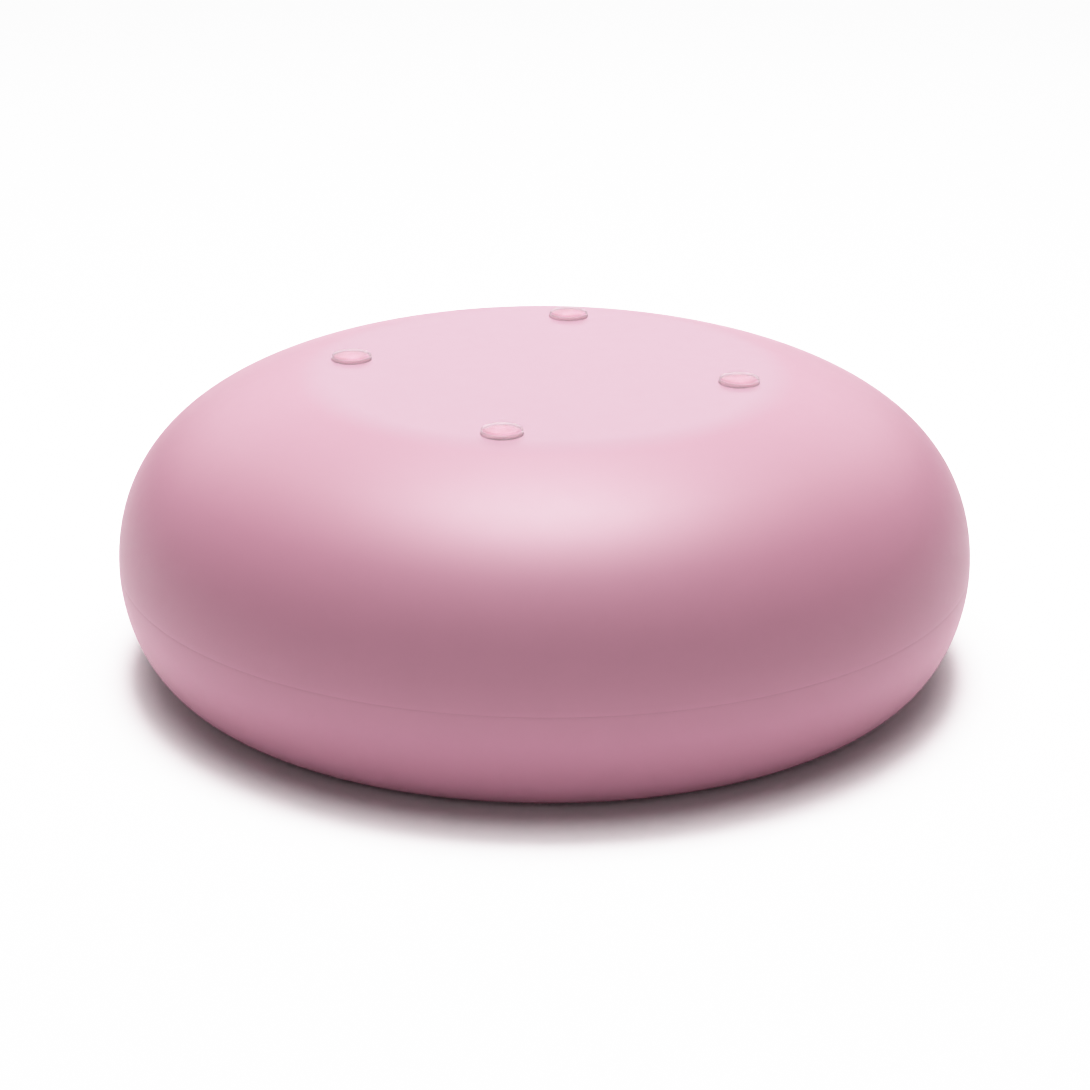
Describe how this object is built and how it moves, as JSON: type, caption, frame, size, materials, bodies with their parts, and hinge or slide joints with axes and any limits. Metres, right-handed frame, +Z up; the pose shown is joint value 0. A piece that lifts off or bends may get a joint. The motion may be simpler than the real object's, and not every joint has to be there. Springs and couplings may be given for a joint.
{
  "type": "balance dome trainer",
  "caption": "Low round pebble-shaped body of two plastic shells over a foam core, with one wide flat face, one small flat face and clear stick-on feet on the small face.",
  "frame": {"origin": "centre of the wide flat face, which the body lies on, at floor level", "axes": "+Z up along the axis that the body is turned about, from the wide face towards the feet; -Y is the side that the reference view shows"},
  "size_m": [0.42, 0.42, 0.1497],
  "materials": {
    "shell_plastic": "satin",
    "ring_plastic": "matte",
    "plate_plywood": "matte",
    "core_foam": "matte",
    "clear_rubber": "gloss",
    "adhesive": "gloss"
  },
  "bodies": {
    "root": {"base_shell": "shell_plastic", "dome_shell": "shell_plastic", "seam_ring": "ring_plastic", "base_load_plate": "plate_plywood", "dome_load_plate": "plate_plywood", "foam_core": "core_foam", "foot_1": "clear_rubber", "foot_2": "clear_rubber", "foot_3": "clear_rubber", "foot_4": "clear_rubber", "foot_adhesive_1": "adhesive", "foot_adhesive_2": "adhesive", "foot_adhesive_3": "adhesive", "foot_adhesive_4": "adhesive"}
  },
  "joints": []
}
